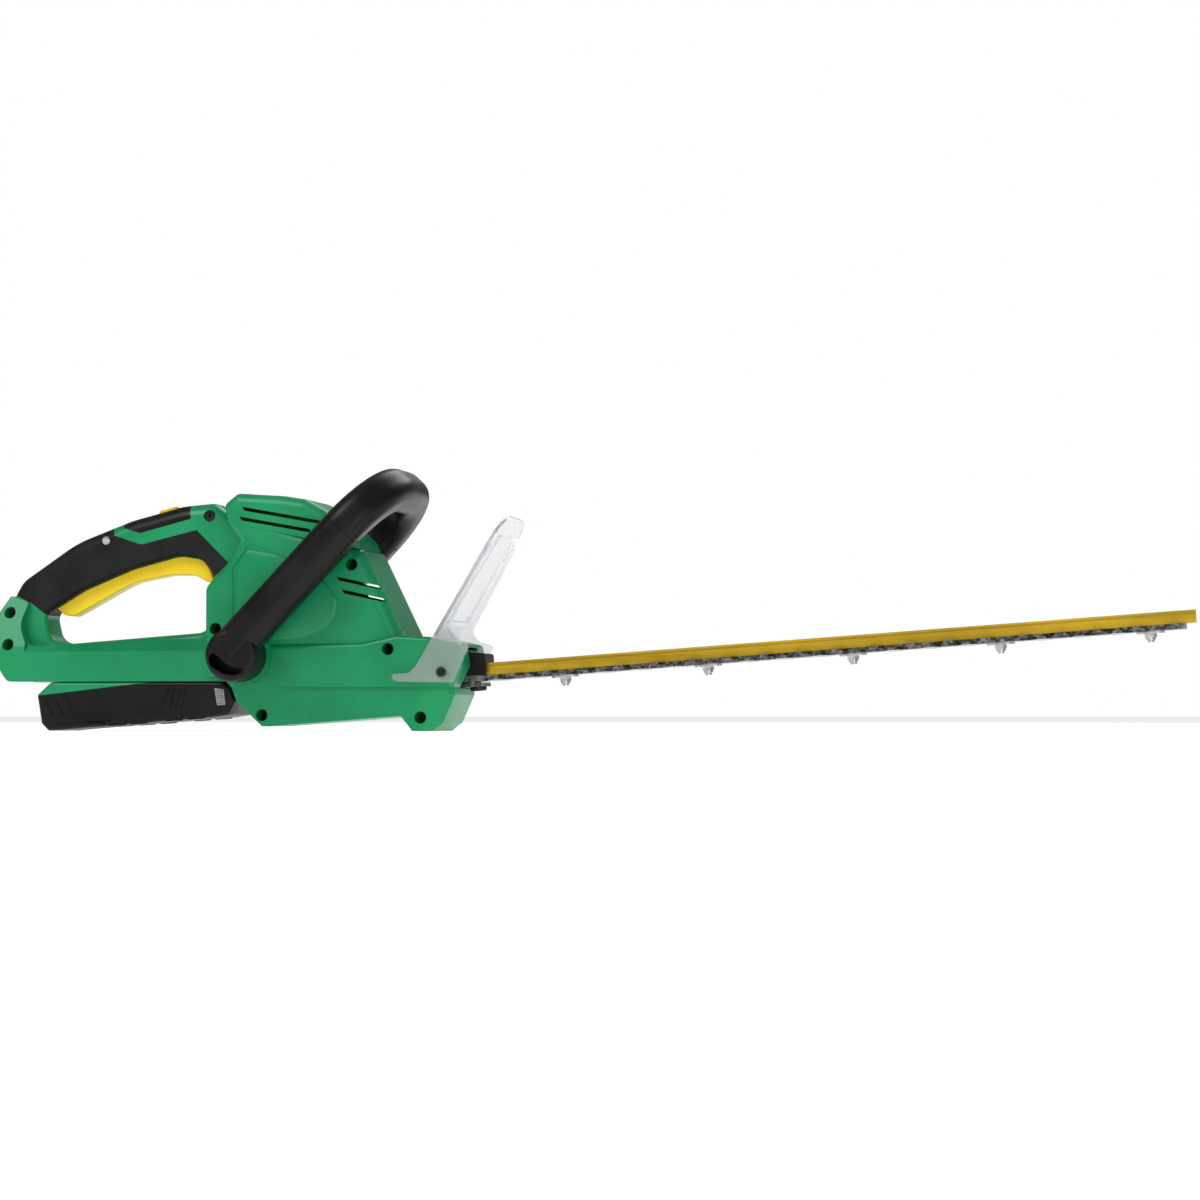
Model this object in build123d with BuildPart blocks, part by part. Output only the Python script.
"""Cordless hedge trimmer: a D-handled body with a front bail, a clear hand shield and a
double-sided reciprocating blade on a rail.  +X runs towards the blade's tip, +Y to the
user's left and +Z up.  The origin is the middle of the front foot's flat sole."""

import os
from math import cos, radians, sin

from build123d import *

os.makedirs("parts", exist_ok=True)

# ---------------------------------------------------------------- driving dimensions (mm)
wall = 2.5  # thickness of the moulded shells
side_wall = 3.5  # thickness of the flanks of the bar, gearbox and keel
skin = 2.0  # thickness of the soft grip over the handle
grip_round = 10.0  # edge radii of the handle, outside and round the hand hole
hand_round = 6.0
hump_round = 12.0
box_round = 4.0
keel_bevel = 5.0
cap_round = 8.0
part_gap = 0.4  # clearance between pieces that move past each other
run_gap = 0.05  # radial running clearance of a shaft or pin

grip_half = 18.0  # half widths of the body's layers
bar_half = 36.0
hump_half = 38.0
box_half = 41.0
keel_half = 38.0

blade_tilt = 4.05  # the blade rises towards its tip, in degrees
deck_height = 37.6  # the blades' parting plane above the sole, at x = 0
blade_thick = 2.0
blade_gap = 0.1
blade_half = 12.0
tooth_pitch = 27.875
tooth_count = 19
tooth_reach = 13.0
tooth_root = 15.0
tooth_tip = 7.0
first_tooth = 67.0
stroke = 6.5  # each blade runs this far either side of its middle

rail_start = 12.0
rail_end = 585.0
rail_half = 10.0
rail_height = 9.5
bolt_pitch = 111.5
bolt_count = 5
first_bolt = 104.6
bolt_r = 2.5
nut_r = 4.6
nut_height = 4.6

gear_at = -70.0  # stations along the deck
gear_module = 1.0
gear_teeth = 60
pinion_teeth = 10
gear_thick = 7.0
gear_pin_r = 4.0
cam_r = 13.0

motor_r = 24.0
motor_length = 80.0
motor_base = 17.0  # the motor's front face above the deck
shaft_r = 2.5

trigger_half = 8.0
trigger_travel = 3.8  # degrees
plunger_arm = 55.0  # from the trigger's pin to the switch's plunger

battery_half = 36.0
tongue_half = 22.0
neck_half = 16.0
cell_r = 9.2
cell_length = 65.0
cell_count = 5

bail_lean = 46.5  # degrees from level
bail_half_span = 62.0
bail_reach = 172.0  # hub line to the crossbar's middle
bail_corner = 46.0
bail_depth = 30.0
bail_breadth = 31.0
hub_r = 20.5
hub_rim = 2.5  # the boss stands this much proud of the hub

shield_thick = 2.4
shield_lean = 59.5

screw_head_r = 3.7
screw_r = 1.9
screw_recess_r = 4.7
screw_seat = 14.0

# ---------------------------------------------------------------- frames
ct, st = cos(radians(blade_tilt)), sin(radians(blade_tilt))
deck = Plane(origin=(0, 0, deck_height), x_dir=(ct, 0, st), z_dir=(-st, 0, ct))
rail_foot = blade_gap + blade_thick + 0.15  # the rail's underside above the deck
motor_at = gear_at - gear_module * (gear_teeth + pinion_teeth) / 2


def side(y):
    """The upright plane at y, facing the near side: sketches on it read x, z."""
    return Plane(origin=(0, y, 0), x_dir=(1, 0, 0), z_dir=(0, -1, 0))


def across(station):
    """The plane square to the blades at a station: sketches on it read y, height."""
    return Plane(origin=deck.from_local_coords((station, 0, 0)), x_dir=(0, 1, 0), z_dir=(ct, 0, st))


def finish(builder, name):
    """Labels one finished piece and writes it."""
    builder.part.label = name
    export_step(builder.part, f"parts/{name}.step")


def outline(points, radii):
    """Adds a closed outline with rounded corners to the open sketch."""
    with BuildLine() as edge:
        FilletPolyline(*points, radius=radii, close=True)
    make_face(edge.edges())


# ---------------------------------------------------------------- side outlines (x, z)
handle_points = [
    (-335.2, 38.5), (-341.5, 47.8), (-346.6, 91.7), (-331.3, 118.2), (-286.7, 148.3),
    (-241.5, 165.3), (-199.7, 176.1), (-173.0, 178.4), (-152.0, 163.0), (-140.0, 155.0),
    (-140.0, 38.5),
]
handle_radii = [6, 10, 5, 20, 90, 60, 40, 10, 4, 0, 0]
hand_points = [
    (-291.0, 68.5), (-306.0, 70.0), (-311.0, 92.0), (-280.5, 110.4), (-241.0, 126.6),
    (-201.7, 137.0), (-183.0, 134.0), (-173.6, 122.0), (-175.6, 77.3),
]
hand_radii = [6, 12, 8, 60, 60, 24, 10, 8, 12]
bar_points = [
    (-335.2, 38.5), (-341.5, 47.8), (-346.6, 91.7), (-338.0, 106.5), (-322.5, 101.0),
    (-328.0, 84.0), (-320.0, 66.3), (-176.0, 72.6), (-150.0, 80.0), (-150.0, 38.5),
]
bar_radii = [6, 10, 5, 2, 2, 20, 8, 12, 0, 0]
hump_points = [
    (-173.6, 42.0), (-173.6, 112.0), (-160.0, 124.0), (-146.0, 147.0), (-157.3, 162.1),
    (-50.5, 140.3), (-46.5, 139.0), (-14.5, 73.0), (-14.5, 42.0),
]
hump_radii = [0, 10, 6, 3, 0, 0, 2, 6, 0]
cap_points = [
    (-157.3, 162.1), (-159.0, 175.8), (-148.5, 184.4), (-110.9, 181.9), (-93.4, 179.1),
    (-78.0, 171.0), (-53.0, 147.5), (-50.5, 140.3),
]
cap_radii = [0, 4, 6, 20, 12, 16, 4, 0]
box_points = [
    (-152.1, 34.0), (-156.0, 38.6), (-168.0, 42.0), (-168.0, 54.0), (-150.0, 66.0),
    (-47.0, 68.0), (-20.0, 73.8), (5.3, 72.2), (31.0, 67.0), (33.0, 50.0), (25.2, 34.0),
]
box_radii = [0, 0, 4, 8, 10, 8, 6, 6, 4, 4, 0]
keel_points = [
    (-152.1, 52.0), (-152.1, 36.0), (-147.2, 23.1), (-126.5, 3.3), (-16.5, 11.6),
    (-7.5, 0.0), (7.5, 0.0), (15.5, 6.3), (25.2, 28.0), (25.2, 52.0),
]
keel_radii = [0, 3, 3, 3, 2, 1, 0, 0, 0, 0]
grip_region = [
    (-333.0, 106.0), (-345.0, 114.0), (-335.0, 130.0), (-285.0, 165.0), (-259.0, 168.0),
    (-253.8, 153.5), (-231.7, 146.2), (-186.4, 157.2), (-160.4, 131.4), (-168.3, 123.0),
    (-174.8, 119.0), (-192.0, 126.0), (-240.0, 118.0), (-304.0, 88.0), (-309.5, 91.0),
    (-322.4, 100.8),
]
panel_region = [
    (-246.7, 159.4), (-249.0, 170.0), (-194.0, 184.0), (-191.1, 165.9), (-232.6, 155.1),
]

# Screw towers: x, z and the half width of the layer that each goes through.
towers = [
    (-337.0, 93.0, bar_half), (-335.0, 67.6, bar_half), (-176.0, 168.2, grip_half),
    (-55.8, 128.1, hump_half), (-26.1, 63.0, box_half), (-1.1, 10.4, keel_half),
    (-127.0, 12.2, keel_half), (-164.4, 79.0, hump_half),
]
tower_r = screw_recess_r + 2.0

# ---------------------------------------------------------------- forms shared by the shells
def round_sides(builder, inner, radius):
    """Rounds the edges of a slab's two side faces, outside or round its hole."""
    for end in (0, -1):
        face = builder.faces().filter_by(Axis.Y).sort_by(Axis.Y)[end]
        wire = face.inner_wires()[0] if inner else face.outer_wire()
        fillet(wire.edges(), radius=radius)


with BuildPart() as handle_form:
    with BuildSketch(Plane.XZ):
        outline(handle_points, handle_radii)
    extrude(amount=grip_half, both=True)
    round_sides(handle_form, False, grip_round)
    with BuildSketch(Plane.XZ):
        outline(hand_points, hand_radii)
    extrude(amount=grip_half, both=True, mode=Mode.SUBTRACT)
    round_sides(handle_form, True, hand_round)

with BuildPart() as handle_under:
    with BuildSketch(Plane.XZ):
        outline(handle_points, handle_radii)
        offset(amount=-skin, kind=Kind.INTERSECTION)
    extrude(amount=grip_half - skin, both=True)
    round_sides(handle_under, False, grip_round - skin)
    with BuildSketch(Plane.XZ):
        outline(hand_points, hand_radii)
        offset(amount=skin)
    extrude(amount=grip_half, both=True, mode=Mode.SUBTRACT)
    round_sides(handle_under, True, hand_round - skin)

def slope_shoulders(inset):
    """Cuts the bar's sloping shoulders, drawn in by the inset: along its top, then up its post."""
    for start, length, low, high in (
        (-321, 175, (bar_half, 62), (bar_half - 16, 78)),
        (-360, 60, (bar_half, 66), (grip_half + 1, 110)),
    ):
        with BuildSketch(Plane.YZ.offset(start)) as shoulders:
            with BuildLine() as wedge:
                Polyline(
                    (bar_half + 1, low[1]), (low[0] - inset, low[1]), (high[0] - inset, high[1]),
                    (bar_half + 1, high[1]), close=True,
                )
            make_face(wedge.edges())
            mirror(about=Plane.YZ)
        extrude(shoulders.sketch, amount=length, mode=Mode.SUBTRACT)


# The bar under the hand hole: full width along the battery, drawn in at the post's top.
with BuildPart() as bar_form:
    with BuildSketch(Plane.XZ):
        outline(bar_points, bar_radii)
    extrude(amount=bar_half, both=True)
    slope_shoulders(0)

with BuildPart() as hump_form:
    with BuildSketch(Plane.XZ):
        outline(hump_points, hump_radii)
    extrude(amount=hump_half, both=True)
    flanks = hump_form.edges().filter_by(Plane.XZ).filter_by(lambda e: e.center().Z > 40)
    fillet(flanks.filter_by(lambda e: e.center().X > -48), radius=hump_round)
    fillet(flanks.filter_by(lambda e: e.center().X < -145), radius=hand_round)

with BuildPart() as box_form:
    with BuildSketch(Plane.XZ):
        outline(box_points, box_radii)
    extrude(amount=box_half, both=True)
    flanks = box_form.edges().filter_by(Plane.XZ)
    fillet(flanks.filter_by(lambda e: e.center().Z > 52 or e.center().X < -153), radius=box_round)

with BuildPart() as keel_form:
    with BuildSketch(Plane.XZ):
        outline(keel_points, keel_radii)
    extrude(amount=keel_half, both=True)
    flanks = keel_form.edges().filter_by(Plane.XZ).filter_by(lambda e: e.center().Z < 50)
    chamfer(flanks.filter_by(lambda e: e.center().X > 8), length=keel_bevel)

with BuildPart() as cap_form:
    with BuildSketch(Plane.XZ):
        outline(cap_points, cap_radii)
    extrude(amount=hump_half, both=True)
    flanks = cap_form.edges().filter_by(Plane.XZ)
    fillet(flanks.filter_by(lambda e: e.center().Z > 152 or e.center().X > -75), radius=cap_round)

# The hollows inside the layers: each follows its layer's rounded or sloping shoulders.
with BuildPart() as bar_hollow:
    with BuildSketch(Plane.XZ):
        outline(bar_points, bar_radii)
        offset(amount=-wall, kind=Kind.INTERSECTION)
    extrude(amount=bar_half - side_wall, both=True)
    slope_shoulders(side_wall)

with BuildPart() as hump_hollow:
    for edge_inset, flank_inset in ((wall, 3.6 * wall), (2 * wall, 2 * wall), (3.6 * wall, wall)):
        with BuildSketch(Plane.XZ):
            outline(hump_points, hump_radii)
            outline(cap_points, cap_radii)
            offset(amount=-edge_inset, kind=Kind.INTERSECTION)
        extrude(amount=hump_half - flank_inset, both=True)

with BuildPart() as cavity:
    with BuildSketch(Plane.XZ):
        outline(handle_points, handle_radii)
        offset(amount=-skin - wall, kind=Kind.INTERSECTION)
        with BuildSketch(Plane.XZ, mode=Mode.SUBTRACT):
            outline(hand_points, hand_radii)
            offset(amount=skin + wall)
    extrude(amount=grip_half - skin - wall, both=True)
    add(bar_hollow)
    for points, radii, half, shell in (
        (box_points, box_radii, box_half, wall),
        (keel_points, keel_radii, keel_half, side_wall),
    ):
        with BuildSketch(Plane.XZ):
            outline(points, radii)
            offset(amount=-shell, kind=Kind.INTERSECTION)
        extrude(amount=half - side_wall, both=True)
    add(hump_hollow)

# ---------------------------------------------------------------- the blade deck
def tooth_stations(shift):
    """Stations of one blade's teeth along the deck."""
    return [first_tooth + shift + tooth_pitch * n for n in range(tooth_count)]


bolt_stations = [first_bolt + bolt_pitch * n for n in range(bolt_count)]
window_x = 2 * stroke + cam_r + part_gap  # half lengths of the yoke's window
window_y = stroke + cam_r + part_gap
yoke_x = window_x + 6.0
yoke_y = window_y + 6.0
strip_start = gear_at + yoke_x - 2.0
strip_end = rail_end - stroke - 1.0
root_bolt = 35.5


def blade(builder_plane, shift):
    """Adds one blade: yoke with a window for its cam, slotted strip and both rows of teeth."""
    with BuildSketch(builder_plane) as plate:
        with Locations(((strip_start + strip_end) / 2, 0)):
            Rectangle(strip_end - strip_start, 2 * blade_half)
        with Locations((gear_at, 0)):
            RectangleRounded(2 * yoke_x, 2 * yoke_y, radius=8)
            RectangleRounded(2 * window_x, 2 * window_y, radius=4, mode=Mode.SUBTRACT)
        for row in (1, -1):
            for station in tooth_stations(shift):
                with BuildLine():
                    Polyline(
                        (station - tooth_root / 2, row * (blade_half - 1)),
                        (station - tooth_tip / 2, row * (blade_half + tooth_reach)),
                        (station + tooth_tip / 2, row * (blade_half + tooth_reach)),
                        (station + tooth_root / 2, row * (blade_half - 1)),
                        close=True,
                    )
                make_face()
        with Locations(*[(x, 0) for x in [root_bolt] + bolt_stations]):
            SlotOverall(2 * (bolt_r + stroke + part_gap), 2 * (bolt_r + part_gap), mode=Mode.SUBTRACT)
    extrude(plate.sketch, amount=blade_thick)


with BuildPart() as upper_blade:
    blade(deck.offset(blade_gap / 2), 0)
finish(upper_blade, "upper_blade")

with BuildPart() as lower_blade:
    blade(deck.offset(-blade_gap / 2 - blade_thick), -tooth_pitch / 2)
finish(lower_blade, "lower_blade")

# ---------------------------------------------------------------- rail and its fasteners
lip_height = 1.6  # the rail's top lip, over the groove along each side
groove_height = 1.3
groove_depth = 1.4
rail_top = rail_foot + rail_height
head_r = 4.2
head_height = 2.6

with BuildPart() as rail:
    with BuildSketch(across(rail_start)):
        with Locations((0, rail_foot + rail_height / 2)):
            Rectangle(2 * rail_half, rail_height)
        groove_at = rail_top - lip_height - groove_height / 2
        with Locations((rail_half, groove_at), (-rail_half, groove_at)):
            Rectangle(2 * groove_depth, groove_height, mode=Mode.SUBTRACT)
        with Locations((0, rail_top)):
            Rectangle(2 * head_r + 1.6, 2 * head_height + 1.0, mode=Mode.SUBTRACT)
        with Locations((0, rail_foot)):
            Rectangle(2 * bolt_r + 4, 2 * 1.2, mode=Mode.SUBTRACT)
    extrude(amount=rail_end - rail_start)
    with BuildSketch(deck.offset(rail_foot)):
        with Locations(*[(x, 0) for x in [root_bolt] + bolt_stations]):
            Circle(bolt_r)
    extrude(amount=rail_height, mode=Mode.SUBTRACT)
finish(rail, "rail")

washer_top = -blade_gap / 2 - blade_thick - 0.15  # height above the deck
washer_thick = 1.4
washer_half = 10.5
channel_floor = rail_top - head_height - 0.5
nut_top = washer_top - washer_thick


with BuildPart() as blade_bolts:
    with BuildSketch(deck.offset(nut_top - nut_height - 1.8)):
        with Locations(*[(x, 0) for x in bolt_stations]):
            Circle(bolt_r)
    extrude(amount=channel_floor - nut_top + nut_height + 1.8)
    with BuildSketch(deck.offset(channel_floor)):
        with Locations(*[(x, 0) for x in bolt_stations]):
            Circle(head_r)
    extrude(amount=head_height)
finish(blade_bolts, "blade_bolts")

with BuildPart() as blade_washers:
    with BuildSketch(deck.offset(washer_top)):
        with Locations(*[(x, 0) for x in bolt_stations]):
            SlotOverall(2 * washer_half, 2 * nut_r + 2.4)
            Circle(bolt_r, mode=Mode.SUBTRACT)
    extrude(amount=-washer_thick)
finish(blade_washers, "blade_washers")

with BuildPart() as blade_nuts:
    with BuildSketch(deck.offset(nut_top)):
        with Locations(*[(x, 0) for x in bolt_stations]):
            RegularPolygon(nut_r, 6)
            Circle(bolt_r, mode=Mode.SUBTRACT)
    extrude(amount=-0.6 * nut_height)
    with BuildSketch(deck.offset(nut_top - 0.6 * nut_height)):
        with Locations(*[(x, 0) for x in bolt_stations]):
            Circle(nut_r * 0.8)
            Circle(bolt_r, mode=Mode.SUBTRACT)
    extrude(amount=-0.4 * nut_height)
finish(blade_nuts, "blade_nuts")

# ---------------------------------------------------------------- gear deck
plate_top = -3.0
plate_thick = 3.0
post_y = yoke_y + 3.6
posts = [(gear_at + dx, dy) for dx in (-22, 22) for dy in (-post_y, post_y)]
case_top = 16.0
pocket_top = rail_top + 0.1
arm_end = 21.0
gear_floor = 4.0
case_half = keel_half - side_wall  # the case is clamped between the shells' flanks
case_r = case_half - 0.5

with BuildPart() as base_plate:
    with BuildSketch(deck.offset(plate_top - plate_thick)):
        with Locations((gear_at, 0)):
            RectangleRounded(62, 2 * (post_y + 4), radius=6)
        with Locations((gear_at / 2 + 20, 0)):
            Rectangle(-gear_at + 46, 22)
        with Locations((gear_at, 0)):
            Circle(gear_pin_r, mode=Mode.SUBTRACT)
        with Locations((root_bolt, 0)):
            Circle(bolt_r, mode=Mode.SUBTRACT)
        with Locations(*posts):
            Circle(screw_r, mode=Mode.SUBTRACT)
    extrude(amount=plate_thick)
finish(base_plate, "base_plate")

with BuildPart() as gear_case:
    with BuildSketch(deck.offset(gear_floor - 1)):
        with Locations((gear_at, 0)):
            Circle(case_r)
        with Locations((motor_at, 0)):
            Circle(motor_r + 3)
        with Locations((gear_at, 0)):
            Rectangle(52, 2 * case_half)
    extrude(amount=case_top - gear_floor + 1)
    with BuildSketch(deck.offset(gear_floor - 1)):
        with Locations((gear_at, 0)):
            Circle(gear_module * (gear_teeth / 2 + 1) + 1.2)
        with Locations((motor_at, 0)):
            Circle(gear_module * (pinion_teeth / 2 + 1) + 1.2)
    extrude(amount=pocket_top - gear_floor + 1, mode=Mode.SUBTRACT)
    with BuildSketch(deck.offset(rail_top + 0.1)):
        with Locations(((gear_at + arm_end) / 2, 0)):
            Rectangle(arm_end - gear_at, 2 * (rail_half + 4))
    extrude(amount=case_top - rail_top - 0.1)
    with BuildSketch(deck.offset(pocket_top)):
        with Locations((motor_at, 0)):
            Circle(gear_module * (pinion_teeth / 2 + 1) + 1.2)
    extrude(amount=10, mode=Mode.SUBTRACT)
    with BuildSketch(deck.offset(pocket_top)):
        with Locations((gear_at, 0)):
            Circle(gear_pin_r)
    extrude(amount=10, mode=Mode.SUBTRACT)
    with BuildSketch(deck.offset(plate_top)):
        with Locations(*posts):
            Circle(3.2)
            Circle(screw_r - 0.3, mode=Mode.SUBTRACT)
    extrude(amount=gear_floor - 1 - plate_top)
finish(gear_case, "gear_case")

with BuildPart() as case_screws:
    with BuildSketch(deck.offset(plate_top - plate_thick)):
        with Locations(*posts):
            Circle(screw_head_r)
    extrude(amount=-2.2)
    with BuildSketch(deck.offset(plate_top - plate_thick)):
        with Locations(*posts):
            Circle(screw_r - 0.3)
    extrude(amount=plate_thick + 6)
finish(case_screws, "case_screws")

with BuildPart() as gear_pin:
    with BuildSketch(deck.offset(plate_top - plate_thick)):
        with Locations((gear_at, 0)):
            Circle(gear_pin_r)
    extrude(amount=case_top - plate_top + plate_thick)
finish(gear_pin, "gear_pin")


def toothed(centre, teeth, first_angle):
    """Adds a spur gear's profile to the open sketch, slim enough to leave some backlash."""
    pitch_r = gear_module * teeth / 2
    root_r = pitch_r - 1.25 * gear_module
    with Locations(centre):
        Circle(root_r)
        with PolarLocations(root_r - 0.3, teeth, start_angle=first_angle):
            with Locations((1.1 * gear_module + 0.15, 0)):
                Trapezoid(1.9 * gear_module, 2.2 * gear_module + 0.3, 74, rotation=-90)


with BuildPart() as drive_gear:
    with BuildSketch(deck.offset(gear_floor)):
        toothed((gear_at, 0), gear_teeth, 0)
    extrude(amount=gear_thick)
    with BuildSketch(deck.offset(-blade_gap / 2 - blade_thick)):
        with Locations((gear_at + stroke, 0)):
            Circle(cam_r)
    extrude(amount=blade_thick + blade_gap / 2)
    with BuildSketch(deck):
        with Locations((gear_at - stroke, 0)):
            Circle(cam_r)
    extrude(amount=gear_floor)
    with BuildSketch(deck.offset(-blade_gap / 2 - blade_thick)):
        with Locations((gear_at, 0)):
            Circle(gear_pin_r + run_gap)
    extrude(amount=gear_floor + gear_thick + 10, mode=Mode.SUBTRACT)
finish(drive_gear, "drive_gear")

with BuildPart() as pinion:
    with BuildSketch(deck.offset(gear_floor)):
        toothed((motor_at, 0), pinion_teeth, 180 / pinion_teeth)
        with Locations((motor_at, 0)):
            Circle(shaft_r, mode=Mode.SUBTRACT)
    extrude(amount=gear_thick)
finish(pinion, "pinion")

# ---------------------------------------------------------------- motor, square to the deck
can_wall = 2.0
magnet_thick = 3.5
core_r = motor_r - can_wall - magnet_thick - 0.6
motor_top = motor_base + motor_length
end_cap_height = 9.0
bush_r = 5.5
bush_length = 5.0
fan_r = 24.0
fan_at = motor_top + end_cap_height + 2.0
fan_height = 8.0


def on_motor(height):
    """The plane square to the motor's axis, this high above the deck, centred on the axis."""
    return Plane(origin=deck.from_local_coords((motor_at, 0, height)), x_dir=(ct, 0, st), z_dir=(-st, 0, ct))


with BuildPart() as motor_can:
    with BuildSketch(on_motor(motor_base)):
        Circle(motor_r)
    extrude(amount=motor_length)
    fillet(motor_can.faces().sort_by(Axis.Z)[0].edges(), radius=1.2)
    with BuildSketch(on_motor(motor_base + can_wall)):
        Circle(motor_r - can_wall)
    extrude(amount=motor_length, mode=Mode.SUBTRACT)
    with BuildSketch(on_motor(motor_base)):
        Circle(bush_r)
    extrude(amount=can_wall, mode=Mode.SUBTRACT)
finish(motor_can, "motor_can")

with BuildPart() as motor_end_cap:
    with BuildSketch(on_motor(motor_top)):
        Circle(motor_r)
    extrude(amount=end_cap_height)
    with BuildSketch(on_motor(motor_top)):
        Circle(bush_r)
        with PolarLocations(motor_r * 0.62, 4):
            Rectangle(8, 7)
    extrude(amount=end_cap_height, mode=Mode.SUBTRACT)
finish(motor_end_cap, "motor_end_cap")

with BuildPart() as motor_bushes:
    for height in (motor_base, motor_top + end_cap_height - bush_length):
        with BuildSketch(on_motor(height)):
            Circle(bush_r)
            Circle(shaft_r + run_gap, mode=Mode.SUBTRACT)
        extrude(amount=bush_length)
finish(motor_bushes, "motor_bushes")

with BuildPart() as motor_magnets:
    with BuildSketch(on_motor(motor_base + can_wall + 8)):
        Circle(motor_r - can_wall)
        Circle(motor_r - can_wall - magnet_thick, mode=Mode.SUBTRACT)
        Rectangle(12, 2 * motor_r, mode=Mode.SUBTRACT)
    extrude(amount=motor_length - 26)
finish(motor_magnets, "motor_magnets")

with BuildPart() as armature:
    with BuildSketch(on_motor(motor_base + can_wall + 10)):
        Circle(core_r)
        with PolarLocations(core_r, 5):
            Rectangle(13, 3.2, mode=Mode.SUBTRACT)
        Circle(shaft_r, mode=Mode.SUBTRACT)
    extrude(amount=motor_length - 30)
    with BuildSketch(on_motor(motor_top - 18)):
        Circle(9)
        Circle(shaft_r, mode=Mode.SUBTRACT)
    extrude(amount=14)
finish(armature, "armature")

with BuildPart() as motor_shaft:
    with BuildSketch(on_motor(gear_floor)):
        Circle(shaft_r)
    extrude(amount=fan_at + fan_height - gear_floor)
finish(motor_shaft, "motor_shaft")

with BuildPart() as fan:
    with BuildSketch(on_motor(fan_at)):
        Circle(fan_r)
        Circle(shaft_r, mode=Mode.SUBTRACT)
    extrude(amount=1.6)
    with BuildSketch(on_motor(fan_at + 1.6)):
        Circle(6)
        with PolarLocations(fan_r * 0.6, 9):
            Rectangle(fan_r * 0.72, 1.6, rotation=25)
        Circle(shaft_r, mode=Mode.SUBTRACT)
    extrude(amount=fan_height - 1.6)
finish(fan, "fan")

# ---------------------------------------------------------------- trigger and its switch
pin_x, pin_z = -306.0, 104.0
trigger_pin_r = 2.0
lug_r = 5.0
nub_top = 128.0
seat_top = 138.0
trigger_points = [
    (-309.0, 100.0), (-298.5, 91.4), (-290.5, 90.2), (-283.5, 93.8), (-240.9, 116.8),
    (-209.4, 122.4), (-190.6, 122.2), (-182.5, 117.4), (-176.4, 115.8), (-175.4, 119.6),
    (-181.0, 134.5), (-201.7, 139.5), (-212.0, seat_top), (-226.0, seat_top), (-238.0, 130.5),
    (-246.0, nub_top), (-256.0, nub_top),
    (-280.5, 114.5), (-300.0, 106.0),
]
trigger_radii = [2, 6, 6, 20, 60, 20, 10, 10, 2, 2, 10, 8, 1, 1, 2, 1, 1, 10, 2]
pin_spot = (pin_x, pin_z)
slot_half = trigger_half + part_gap + 0.2

with BuildPart() as trigger:
    with BuildSketch(Plane.XZ):
        outline(trigger_points, trigger_radii)
        with Locations(pin_spot):
            Circle(lug_r)
    extrude(amount=trigger_half, both=True)
    for end in (0, -1):
        rim = trigger.faces().filter_by(Axis.Y).sort_by(Axis.Y)[end].outer_wire().edges()
        fillet(rim.filter_by(lambda e: e.center().Z < nub_top - 3), radius=1.8)
    with BuildSketch(Plane.XZ):
        with Locations(pin_spot):
            Circle(trigger_pin_r + run_gap)
    extrude(amount=trigger_half, both=True, mode=Mode.SUBTRACT)
finish(trigger, "trigger")

with BuildPart() as trigger_sweep:
    for turned in (0, trigger_travel / 2, trigger_travel):
        along = (cos(radians(turned)), 0, sin(radians(turned)))
        with BuildSketch(Plane(origin=(pin_x, 0, pin_z), x_dir=along, z_dir=(0, -1, 0))):
            with BuildLine() as rim:
                moved = [(x - pin_x, z - pin_z) for x, z in trigger_points]
                FilletPolyline(*moved, radius=trigger_radii, close=True)
            make_face(rim.edges())
            Circle(lug_r)
            offset(amount=part_gap + 0.6, kind=Kind.INTERSECTION)
        extrude(amount=slot_half, both=True)

with BuildPart() as switch_plunger:
    with BuildSketch(Plane.XY.offset(nub_top + 0.3)):
        with Locations((pin_x + plunger_arm, 0)):
            Circle(2.0)
    extrude(amount=9.7)
finish(switch_plunger, "switch_plunger")

switch_floor = 135.0
with BuildPart() as microswitch:
    with BuildSketch(Plane.XY.offset(switch_floor)):
        with Locations((pin_x + plunger_arm, 0)):
            Rectangle(22, 10)
    extrude(amount=14)
    with BuildSketch(Plane.XY.offset(switch_floor)):
        with Locations((pin_x + plunger_arm, 0)):
            Circle(2.0 + run_gap)
    extrude(amount=9, mode=Mode.SUBTRACT)
finish(microswitch, "microswitch")

# ---------------------------------------------------------------- bail: places
hub_x, hub_z = -141.2, 58.2
cl, sl = cos(radians(bail_lean)), sin(radians(bail_lean))
leg_shift = 5.0  # the leg's line passes this far behind the hub's middle
leg_x, leg_z = hub_x - leg_shift * sl, hub_z + leg_shift * cl
bail_plane = Plane(origin=(leg_x, 0, leg_z), x_dir=(0, 1, 0), z_dir=(sl, 0, -cl))
bail_inner = bail_half_span - bail_depth / 2
bail_bolt_r = 3.0
bail_bolt_head_r = 6.0
bail_seat = 8.0  # thickness of plastic under the bail bolt's head

# ---------------------------------------------------------------- body shells
channel_roof = 46.6
channel_front = -160.0
tongue_gap = 0.5
vent_height = 3.1
side_vents = [(-67.6, 118.9), (-63.6, 109.0)]  # rear top corners of the hump's side vents
cap_vents = [(-143.5, 173.6), (-145.5, 166.0)]
cap_vent_lengths = [62.0, 56.0]
spring_x, spring_roof = -219.0, 156.0
plug_z, plug_width, plug_height = 43.6, 24.0, 4.0
shield_screw_spot = (16.8, 45.1)
window_floor = -6.6  # heights above the deck of the blade window in the nose
window_roof = 24.5
window_y_half = 15.6


def slanted_slots(corners, lengths, fall):
    """Adds slots that fall towards the nose, each from its rear top corner."""
    for (x, z), length in zip(corners, lengths):
        with BuildLine() as rim:
            Polyline(
                (x, z), (x + length, z - fall * length), (x + length + 2, z - fall * length - vent_height),
                (x + 2, z - vent_height), close=True,
            )
        make_face(rim.edges())


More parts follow.
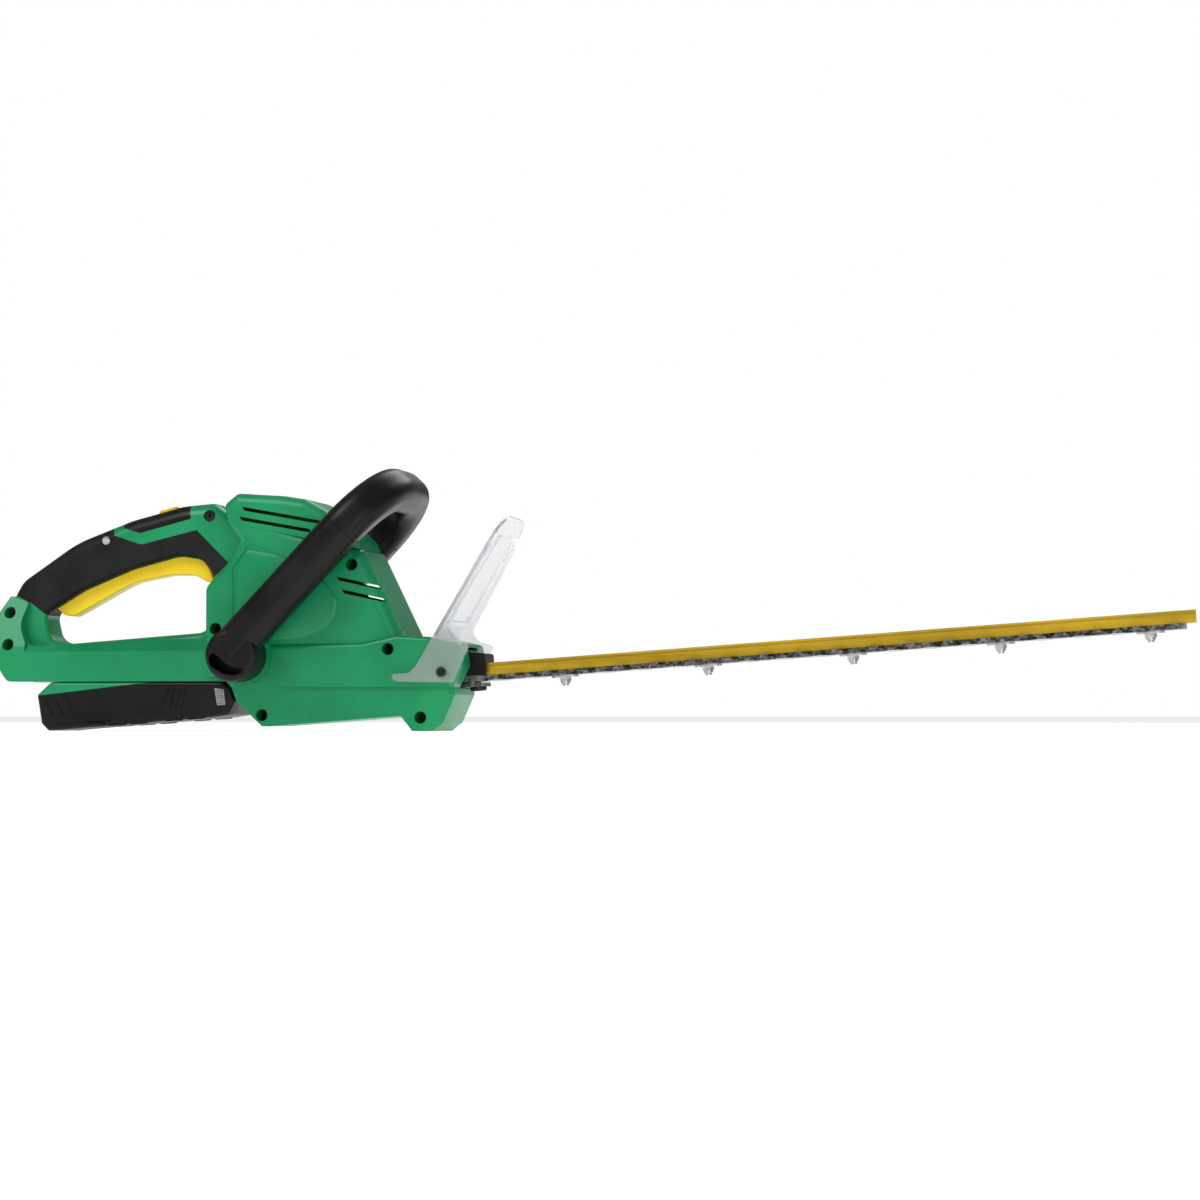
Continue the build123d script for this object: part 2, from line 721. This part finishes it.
with BuildPart() as shell:
    add(handle_form)
    with BuildSketch(Plane.XZ):
        Polygon(*grip_region, align=None)
        Polygon(*panel_region, align=None)
    extrude(amount=grip_half, both=True, mode=Mode.SUBTRACT)
    add(handle_under)
    add(bar_form)
    add(hump_form)
    add(box_form)
    add(keel_form)
    with BuildSketch(Plane.XZ):
        with Locations((hub_x, hub_z)):
            Circle(hub_r + hub_rim)
    extrude(amount=bail_inner, both=True)

with BuildPart() as hollow:
    add(cavity)
    with BuildSketch(Plane.XY):
        with Locations(((channel_front - 360) / 2, 0)):
            Rectangle(360 + channel_front + 4, 2 * (tongue_half + tongue_gap + wall))
    extrude(amount=channel_roof + wall, mode=Mode.SUBTRACT)
    with BuildSketch(Plane.XZ):
        with Locations(*[(x, z) for x, z, half in towers]):
            Circle(tower_r)
    extrude(amount=box_half, both=True, mode=Mode.SUBTRACT)

with BuildPart() as body_shell:
    add(shell)
    add(hollow, mode=Mode.SUBTRACT)
    with BuildSketch(Plane.XZ):
        with Locations((spring_x, spring_roof + 1.2)):
            Rectangle(12, 2.4)
    extrude(amount=grip_half - skin - wall + 0.5, both=True)
    with BuildSketch(Plane.YZ.offset(channel_front - 1)):
        with Locations((0, plug_z)):
            Rectangle(plug_width, plug_height)
    extrude(amount=6, mode=Mode.SUBTRACT)
    with BuildSketch(Plane.XZ):
        with Locations(shield_screw_spot):
            Circle(screw_r - 0.3)
    extrude(amount=box_half, both=True, mode=Mode.SUBTRACT)
    with BuildSketch(Plane.YZ.offset(-360)):
        with Locations((0, channel_roof / 2 + 35 / 2)):
            Rectangle(2 * (neck_half + tongue_gap), channel_roof - 35)
        with Locations((0, (channel_roof + 42.5) / 2)):
            Rectangle(2 * (tongue_half + tongue_gap), channel_roof - 42.5)
    extrude(amount=360 + channel_front, mode=Mode.SUBTRACT)
    add(trigger_sweep, mode=Mode.SUBTRACT)
    with BuildSketch(across(-5)):
        with Locations((0, (window_floor + window_roof) / 2)):
            Rectangle(2 * window_y_half, window_roof - window_floor)
    extrude(amount=60, mode=Mode.SUBTRACT)
    with BuildSketch(Plane.XZ):
        slanted_slots(side_vents, [32.0, 32.0], 0.22)
    extrude(amount=hump_half, both=True, mode=Mode.SUBTRACT)

# The lock-off button's well through the top panel, square to the handle there.
well_x, well_z = -214.0, 171.6
well_lean = 14.5
lock_plane = Plane(
    origin=(well_x, 0, well_z),
    x_dir=(cos(radians(well_lean)), 0, sin(radians(well_lean))),
    z_dir=(-sin(radians(well_lean)), 0, cos(radians(well_lean))),
)
lock_length, lock_width, lock_proud, lock_depth = 15.0, 9.0, 3.4, 10.4

grip_screw_spot = (-260.8, 149.4)

with BuildPart() as housing_right:
    add(body_shell)
    split(bisect_by=Plane.XZ, keep=Keep.TOP)
    with BuildSketch(lock_plane.offset(3)):
        Rectangle(lock_length + 2 * part_gap, lock_width + 2 * part_gap)
    extrude(amount=-3 - skin - wall - 1, mode=Mode.SUBTRACT)
    with BuildSketch(side(-screw_seat)):
        with Locations(*[(x, z) for x, z, half in towers]):
            Circle(screw_recess_r)
    extrude(amount=box_half, mode=Mode.SUBTRACT)
    with BuildSketch(Plane.XZ):
        with Locations(*[(x, z) for x, z, half in towers]):
            Circle(screw_r)
        with Locations((hub_x, hub_z)):
            Circle(bail_bolt_r)
    extrude(amount=bail_half_span, mode=Mode.SUBTRACT)
finish(housing_right, "housing_right")

with BuildPart() as housing_left:
    add(body_shell)
    split(bisect_by=Plane.XZ, keep=Keep.BOTTOM)
    with BuildSketch(lock_plane.offset(3)):
        Rectangle(lock_length + 2 * part_gap, lock_width + 2 * part_gap)
    extrude(amount=-3 - skin - wall - 1, mode=Mode.SUBTRACT)
    with BuildSketch(Plane.XZ):
        with Locations(*[(x, z) for x, z, half in towers]):
            Circle(screw_r - 0.3)
        with Locations((hub_x, hub_z)):
            Circle(bail_bolt_r)
    extrude(amount=-10, mode=Mode.SUBTRACT)
    with BuildSketch(Plane.XZ.offset(-10)):
        with Locations((hub_x, hub_z)):
            Circle(bail_bolt_r)
    extrude(amount=-bail_half_span, mode=Mode.SUBTRACT)
finish(housing_left, "housing_left")

with BuildPart() as housing_screws:
    with BuildSketch(side(-screw_seat)):
        with Locations(*[(x, z) for x, z, half in towers]):
            Circle(screw_head_r)
            RegularPolygon(1.6, 6, mode=Mode.SUBTRACT)
    extrude(amount=2.6)
    with BuildSketch(side(-screw_seat)):
        with Locations(*[(x, z) for x, z, half in towers]):
            Circle(screw_r - 0.3)
    extrude(amount=-screw_seat - 9)
finish(housing_screws, "housing_screws")

baffle_half = 1.0
baffle_limits = [(-150.0, 200.0), (-150.0, 163.0), (-60.0, 145.0), (-60.0, 200.0)]

with BuildPart() as motor_cap:
    add(cap_form)
    add(cavity, mode=Mode.SUBTRACT)
    add(hump_form, mode=Mode.SUBTRACT)
    add(handle_form, mode=Mode.SUBTRACT)
    with BuildSketch(Plane.XZ):
        slanted_slots(cap_vents, cap_vent_lengths, 0.18)
    extrude(amount=hump_half, both=True, mode=Mode.SUBTRACT)
    # A baffle down the middle keeps rain that enters one side's slots out of the other's.
    with BuildSketch(Plane.XZ):
        outline(cap_points, cap_radii)
        offset(amount=-wall / 2)
        Polygon(*baffle_limits, align=None, mode=Mode.INTERSECT)
    extrude(amount=baffle_half, both=True)
finish(motor_cap, "motor_cap")

# Soft grip: one half moulded over each shell, stopping at the layers in front of it.
with BuildPart() as grip_skin:
    add(handle_form)
    with BuildSketch(Plane.XZ):
        Polygon(*grip_region, align=None)
    extrude(amount=grip_half, both=True, mode=Mode.INTERSECT)
    add(handle_under, mode=Mode.SUBTRACT)
    add(bar_form, mode=Mode.SUBTRACT)
    add(hump_form, mode=Mode.SUBTRACT)
    add(trigger_sweep, mode=Mode.SUBTRACT)
    with BuildSketch(Plane.XZ):
        with Locations(grip_screw_spot):
            Circle(screw_head_r)
    extrude(amount=grip_half, mode=Mode.SUBTRACT)

with BuildPart() as grip_right:
    add(grip_skin)
    split(bisect_by=Plane.XZ, keep=Keep.TOP)
finish(grip_right, "grip_right")

with BuildPart() as grip_left:
    add(grip_skin)
    split(bisect_by=Plane.XZ, keep=Keep.BOTTOM)
finish(grip_left, "grip_left")

with BuildPart() as grip_screw:
    with BuildSketch(side(-grip_half + skin)):
        with Locations(grip_screw_spot):
            Circle(screw_head_r)
    extrude(amount=1.4)
    chamfer(grip_screw.edges().filter_by(GeomType.CIRCLE).sort_by(Axis.Y)[0], length=0.6)
    with BuildSketch(side(-grip_half + skin + 1.4)):
        with Locations(grip_screw_spot):
            SlotOverall(1.4 * screw_head_r, 1.0, rotation=25)
    extrude(amount=-0.8, mode=Mode.SUBTRACT)
finish(grip_screw, "grip_screw")

with BuildPart() as switch_panel:
    add(handle_form)
    with BuildSketch(Plane.XZ):
        Polygon(*panel_region, align=None)
    extrude(amount=grip_half, both=True, mode=Mode.INTERSECT)
    add(handle_under, mode=Mode.SUBTRACT)
    with BuildSketch(lock_plane.offset(3)):
        Rectangle(lock_length + 2 * part_gap, lock_width + 2 * part_gap)
    extrude(amount=-3 - skin - 3, mode=Mode.SUBTRACT)
finish(switch_panel, "switch_panel")

with BuildPart() as lock_button:
    with BuildSketch(lock_plane.offset(lock_proud)):
        RectangleRounded(lock_length, lock_width, radius=2)
    extrude(amount=-lock_depth)
    chamfer(lock_button.faces().sort_by(Axis.Z)[-1].edges(), length=0.5)
    with BuildSketch(lock_plane.offset(-skin - wall - 0.6)):
        RectangleRounded(lock_length + 4, lock_width + 4, radius=1)
    extrude(amount=-1.4)
finish(lock_button, "lock_button")

# ---------------------------------------------------------------- battery pack
battery_wall = 2.0
battery_top = 38.0
tongue_top = channel_roof - 0.5
tongue_start, tongue_end = -300.0, -170.0
battery_points = [
    (-310.5, 28.0), (-306.8, 5.6), (-301.2, 0.0), (-168.2, 10.6), (-154.5, 12.6),
    (-149.8, 23.4), (-153.5, 33.0), (-160.0, battery_top), (-299.5, battery_top),
]
battery_radii = [3, 3, 3, 4, 3, 3, 2, 2, 4]
wedge_points = [(-312.0, 27.3), (-312.0, 40.0), (-217.0, 40.0), (-217.0, battery_top)]
pack_slope = 0.0797  # the pack's underside rises this much per unit of length
latch_points = [(-165.5, 33.2), (-158.0, 32.2), (-156.6, 20.4), (-163.2, 19.8)]
blade_y = 8.0
blade_slot = 3.0

with BuildPart() as battery_form:
    with BuildSketch(Plane.XZ):
        outline(battery_points, battery_radii)
    extrude(amount=battery_half, both=True)
    rims = battery_form.edges().filter_by(Plane.XZ)
    fillet(rims.filter_by(lambda e: e.center().Z < battery_top - 0.5), radius=2.5)

with BuildPart() as battery_hollow:
    with BuildSketch(Plane.XZ):
        outline(battery_points, battery_radii)
        offset(amount=-battery_wall, kind=Kind.INTERSECTION)
    extrude(amount=battery_half - battery_wall - 0.5, both=True)

with BuildPart() as wedge:
    with BuildSketch(Plane.XZ):
        Polygon(*wedge_points, align=None)
    extrude(amount=battery_half, both=True)

with BuildPart() as battery_case:
    add(battery_form)
    add(battery_hollow, mode=Mode.SUBTRACT)
    add(wedge, mode=Mode.SUBTRACT)
    with BuildSketch(Plane.XZ):
        Polygon(*latch_points, align=None)
        offset(amount=part_gap)
    extrude(amount=battery_half, both=True, mode=Mode.SUBTRACT)
finish(battery_case, "battery_case")

with BuildPart() as battery_top_case:
    add(battery_form)
    add(wedge, mode=Mode.INTERSECT)
    with BuildSketch(Plane.YZ.offset(tongue_start)):
        with Locations((0, (battery_top + tongue_top) / 2)):
            Rectangle(2 * neck_half, tongue_top - battery_top)
        with Locations((0, (43.0 + tongue_top) / 2)):
            Rectangle(2 * tongue_half, tongue_top - 43.0)
    extrude(amount=tongue_end - tongue_start)
    add(battery_hollow, mode=Mode.SUBTRACT)
    with BuildSketch(Plane.XY.offset(39.0)):
        with Locations((tongue_end - 10, blade_y), (tongue_end - 10, -blade_y)):
            Rectangle(20, blade_slot)
    extrude(amount=4.6, mode=Mode.SUBTRACT)
finish(battery_top_case, "battery_top_case")

with BuildPart() as battery_contacts:
    for y in (-blade_y, blade_y):
        with BuildSketch(Plane.XY.offset(39.0)):
            with Locations((tongue_end - 14, y + 1.2), (tongue_end - 14, y - 1.2)):
                Rectangle(11, 0.6)
        extrude(amount=4.0)
finish(battery_contacts, "battery_contacts")

with BuildPart() as battery_cells:
    cell_pitch = 2 * cell_r + 0.7
    for n in range(cell_count):
        cell_x = -295.6 + cell_pitch * n
        cell_z = (cell_x + 301.2) * pack_slope + battery_wall + cell_r + 1.4
        with BuildSketch(Plane.XZ):
            with Locations((cell_x, cell_z)):
                Circle(cell_r)
        extrude(amount=cell_length / 2, both=True)
finish(battery_cells, "battery_cells")

with BuildPart() as battery_board:
    with BuildSketch(Plane.XY.offset(battery_top - battery_wall - 1.6)):
        with Locations((-187, 0)):
            Rectangle(34, 44)
    extrude(amount=1.6)
finish(battery_board, "battery_board")


def latch(name, out):
    """One release button: ribbed face, body through the wall and a keeper flange inside."""
    with BuildPart() as button:
        with BuildSketch(side(out * (battery_half + 0.8))):
            Polygon(*latch_points, align=None)
        extrude(amount=out * 4.0)
        with BuildSketch(side(out * (battery_half + 0.8))):
            with GridLocations(2.6, 4.2, 2, 3):
                with Locations((-160.8, 26.5)):
                    Rectangle(1.6, 2.2, rotation=-5)
        extrude(amount=out * 0.9, mode=Mode.SUBTRACT)
        with BuildSketch(side(out * (battery_half - battery_wall - 0.8))):
            Polygon(*latch_points, align=None)
            offset(amount=1.0)
        extrude(amount=out * 1.4)
    finish(button, name)
    return button


latch_right = latch("latch_right", -1)
latch_left = latch("latch_left", 1)

# ---------------------------------------------------------------- receiver in the body
plug_reach = 5.0

with BuildPart() as terminal_block:
    with BuildSketch(Plane.YZ.offset(channel_front - 8)):
        with Locations((0, (39.2 + 42.5) / 2)):
            Rectangle(2 * neck_half, 3.3)
        with Locations((0, (42.5 + channel_roof) / 2)):
            Rectangle(2 * neck_half, channel_roof - 42.5)
    extrude(amount=8)
    with BuildSketch(Plane.YZ.offset(channel_front)):
        with Locations((0, plug_z)):
            Rectangle(plug_width, plug_height)
    extrude(amount=plug_reach)
finish(terminal_block, "terminal_block")

with BuildPart() as terminal_blades:
    with BuildSketch(Plane.XY.offset(39.6)):
        with Locations((channel_front - 8 - 8, blade_y), (channel_front - 8 - 8, -blade_y)):
            Rectangle(16, 0.8)
    extrude(amount=3.0)
finish(terminal_blades, "terminal_blades")

# ---------------------------------------------------------------- bail
bail_wall = 2.6
seam_at = 128.0  # distance up the leg to the ring seam
seam_groove = 0.8


def bail_tube(inset):
    """Sweeps the bail's section, drawn in by the inset, round its loop."""
    with BuildPart() as tube:
        with BuildLine(bail_plane) as loop:
            FilletPolyline(
                (-bail_half_span, 0), (-bail_half_span, bail_reach), (bail_half_span, bail_reach),
                (bail_half_span, 0), radius=bail_corner,
            )
        with BuildSketch(Plane(origin=loop.line @ 0, z_dir=loop.line % 0, x_dir=(0, 1, 0))):
            RectangleRounded(bail_depth - 2 * inset, bail_breadth - 2 * inset, radius=12 - inset)
        sweep(path=loop.line)
    return tube.part


hub_face = bail_half_span + bail_depth / 2 - 0.8  # outer face of the hub, short of the tube's
hub_slot = [
    (-17.0, -2.0), (-13.4, 2.1), (-2.3, -7.2), (4.0, -9.6), (11.4, -10.0), (9.7, -13.7),
    (3.7, -16.0), (-5.0, -14.6), (-15.4, -8.8),
]
hub_slot_radii = [2, 2, 5, 5, 1, 1, 5, 5, 3]

with BuildPart() as hub_form:
    with BuildSketch(Plane.XZ):
        with Locations((hub_x, hub_z)):
            Circle(hub_r)
    extrude(amount=hub_face, both=True)
    fillet(hub_form.edges().filter_by(GeomType.CIRCLE), radius=5)
    with BuildSketch(Plane.XZ):
        with Locations((hub_x, hub_z)):
            Circle(hub_r + 1)
    extrude(amount=bail_inner, both=True, mode=Mode.SUBTRACT)

with BuildPart() as bail_form:
    add(bail_tube(0))
    add(hub_form)

with BuildPart() as bail_shell:
    add(bail_form)
    add(bail_tube(bail_wall), mode=Mode.SUBTRACT)
    for out in (-1, 1):
        face = out * hub_face
        with BuildSketch(side(face - out * bail_wall)):
            with Locations((hub_x, hub_z)):
                Circle(hub_r - bail_wall)
        extrude(amount=out * (hub_face - bail_inner - bail_wall - bail_seat), mode=Mode.SUBTRACT)
        with BuildSketch(side(face)):
            outline([(hub_x + x, hub_z + z) for x, z in hub_slot], hub_slot_radii)
        extrude(amount=out * bail_wall * 1.5, mode=Mode.SUBTRACT)
    with BuildSketch(Plane.XZ):
        with Locations((hub_x, hub_z)):
            Circle(bail_bolt_r)
    extrude(amount=bail_half_span, both=True, mode=Mode.SUBTRACT)
    ring = Plane(origin=(leg_x + seam_at * cl, 0, leg_z + seam_at * sl), x_dir=(0, 1, 0), z_dir=(cl, 0, sl))
    with BuildSketch(ring):
        with Locations((-bail_half_span, 0), (bail_half_span, 0)):
            Rectangle(bail_depth + 2, bail_breadth + 2)
            RectangleRounded(
                bail_depth - 2 * seam_groove, bail_breadth - 2 * seam_groove, radius=11, mode=Mode.SUBTRACT
            )
    extrude(amount=1.0, mode=Mode.SUBTRACT)

with BuildPart() as bail_rear:
    add(bail_shell)
    split(bisect_by=bail_plane, keep=Keep.BOTTOM)
    with BuildSketch(Plane.XZ):
        with Locations((hub_x, hub_z)):
            Circle(hub_r + part_gap)
    extrude(amount=bail_half_span + bail_depth, both=True, mode=Mode.SUBTRACT)
finish(bail_rear, "bail_rear")

with BuildPart() as bail_front:
    add(bail_shell)
    add(bail_rear, mode=Mode.SUBTRACT)
finish(bail_front, "bail_front")

with BuildPart() as bail_bolts:
    for out in (-1, 1):
        seat = out * (bail_inner + bail_seat)
        with BuildSketch(side(seat)):
            with Locations((hub_x, hub_z)):
                Circle(bail_bolt_head_r)
                RegularPolygon(2.6, 6, mode=Mode.SUBTRACT)
        extrude(amount=-out * 4)
        with BuildSketch(side(seat)):
            with Locations((hub_x, hub_z)):
                Circle(bail_bolt_r)
        extrude(amount=out * (bail_inner + bail_seat - hump_half + wall + 6))
finish(bail_bolts, "bail_bolts")

with BuildPart() as bail_nuts:
    for out in (-1, 1):
        with BuildSketch(side(out * (hump_half - wall))):
            with Locations((hub_x, hub_z)):
                RegularPolygon(5.6, 6)
                Circle(bail_bolt_r, mode=Mode.SUBTRACT)
        extrude(amount=out * 5)
finish(bail_nuts, "bail_nuts")

# ---------------------------------------------------------------- hand shield
shield_gap = 0.3
shield_out = box_half + shield_gap + shield_thick
shield_foot = (9.7, 71.9)  # where the leaning panel's back meets the body's top
shield_height = 108.0
shield_corner = 24.0
sc, ss = cos(radians(shield_lean)), sin(radians(shield_lean))
shield_plane = Plane(origin=(shield_foot[0], 0, shield_foot[1]), x_dir=(0, 1, 0), z_dir=(ss, 0, -sc))


def up_shield(rise, forward=0.0):
    """A point in the side view, this far up the panel's back and forward of it."""
    return (shield_foot[0] + rise * sc + forward * ss, shield_foot[1] + rise * ss - forward * sc)


with BuildPart() as shield:
    with BuildSketch(shield_plane):
        with BuildLine():
            FilletPolyline(
                (-shield_out, 0.6), (-shield_out, shield_height),
                (shield_out, shield_height), (shield_out, 0.6),
                radius=[0, shield_corner, shield_corner, 0], close=True,
            )
        make_face()
    extrude(amount=shield_thick)
    with BuildSketch(shield_plane.offset(shield_thick)):
        with BuildLine():
            Polyline((-32, 14), (-25, 92), (25, 92), (32, 14), close=True)
        make_face()
        offset(amount=-2.4, kind=Kind.INTERSECTION, mode=Mode.SUBTRACT)
    extrude(amount=1.0)
    cheek = [
        (-24.0, 43.5), (-20.0, 38.0), (26.0, 37.0), (33.2, 53.7), (38.7, 66.5), (26.0, 70.0),
        up_shield(10, 7), up_shield(shield_height - shield_corner, 4),
        up_shield(shield_height - shield_corner), up_shield(-26), (-9.0, 44.5),
    ]
    for out in (-1, 1):
        with BuildSketch(side(out * shield_out)):
            outline(cheek, [2, 2, 3, 4, 3, 6, 6, 1, 0, 6, 6])
        extrude(amount=out * shield_thick)
    with BuildSketch(Plane.XZ):
        with Locations(shield_screw_spot):
            Circle(screw_r - 0.3)
    extrude(amount=shield_out, both=True, mode=Mode.SUBTRACT)
finish(shield, "shield")

with BuildPart() as shield_screws:
    for out in (-1, 1):
        with BuildSketch(side(out * shield_out)):
            with Locations(shield_screw_spot):
                Circle(screw_head_r)
                RegularPolygon(1.8, 6, mode=Mode.SUBTRACT)
        extrude(amount=-out * 1.8)
        with BuildSketch(side(out * shield_out)):
            with Locations(shield_screw_spot):
                Circle(screw_r - 0.3)
        extrude(amount=out * 8)
finish(shield_screws, "shield_screws")

# ---------------------------------------------------------------- nose: block and root screw
block_points = [
    (22.0, 42.5), (22.0, 63.5), (28.5, 63.5), (33.5, 60.6), (44.5, 59.8), (45.5, 47.5), (44.5, 43.0),
]

with BuildPart() as front_block:
    with BuildSketch(Plane.XZ):
        outline(block_points, [0, 1, 2, 2, 2, 1, 0])
    extrude(amount=window_y_half - 0.4, both=True)
    with BuildSketch(across(10)):
        with Locations((0, rail_foot + rail_height / 2)):
            Rectangle(2 * rail_half, rail_height)
        with Locations((0, rail_foot - 5)):
            Rectangle(2 * window_y_half, 10)
    extrude(amount=50, mode=Mode.SUBTRACT)
finish(front_block, "front_block")

root_head_height = 3.2
root_head_r = 6.5
with BuildPart() as root_screw:
    with BuildSketch(deck.offset(plate_top - plate_thick)):
        with Locations((root_bolt, 0)):
            Circle(root_head_r)
    extrude(amount=-root_head_height)
    chamfer(root_screw.faces().sort_by(Axis.Z)[0].edges(), length=0.9)
    with BuildSketch(deck.offset(plate_top - plate_thick)):
        with Locations((root_bolt, 0)):
            Circle(bolt_r)
    extrude(amount=channel_floor - plate_top + plate_thick)
    with BuildSketch(deck.offset(plate_top - plate_thick - root_head_height)):
        with Locations((root_bolt, 0)):
            RegularPolygon(2.6, 6)
    extrude(amount=1.8, mode=Mode.SUBTRACT)
finish(root_screw, "root_screw")

# ---------------------------------------------------------------- pin, springs and leads
with BuildPart() as trigger_pin:
    with BuildSketch(Plane.XZ):
        with Locations(pin_spot):
            Circle(trigger_pin_r)
    extrude(amount=grip_half - skin - wall, both=True)
finish(trigger_pin, "trigger_pin")


def coil(name, x, foot, top, radius, wire, turns):
    """One upright compression spring of round wire."""
    height = top - foot - 2 * wire
    with BuildPart() as spring:
        with BuildLine() as path:
            Helix(pitch=height / turns, height=height, radius=radius, center=(x, 0, foot + wire))
        with BuildSketch(Plane(origin=path.line @ 0, z_dir=path.line % 0)):
            Circle(wire)
        sweep(path=path.line, is_frenet=True)
    finish(spring, name)
    return spring


trigger_spring = coil("trigger_spring", spring_x, seat_top, spring_roof, 3.0, 0.45, 7)
lock_spring = coil("lock_spring", well_x, spring_roof + 2.4, spring_roof + 6.6, 2.6, 0.3, 3)

lead_r = 1.1


def lead(name, route, radii):
    """One insulated lead along its clips, straight runs joined by arcs."""
    with BuildPart() as wire:
        with BuildLine() as path:
            FilletPolyline(*route, radius=radii)
        with BuildSketch(Plane(origin=path.line @ 0, z_dir=path.line % 0)):
            Circle(lead_r)
        sweep(path=path.line)
    finish(wire, name)
    return wire


block_end = channel_front + plug_reach
lead_red = lead(
    "lead_red",
    [
        (block_end, -9, plug_z), (-149, -9, plug_z), (-149, -9, 128), (-176, -9, 149), (-226, -9, 149),
        (-240, -3, 144),
    ],
    [4, 14, 14, 12],
)
lead_black = lead(
    "lead_black", [(block_end, 9, plug_z), (-148, 9, plug_z), (-146, 2, 122), (-135.2, 0, 130)], [4, 5]
)
lead_motor = lead(
    "lead_motor",
    [(-240, 3, 144), (-226, 9, 151), (-180, 9, 150), (-148, 9, 133), (-133, 10, 132)],
    [12, 14, 12],
)
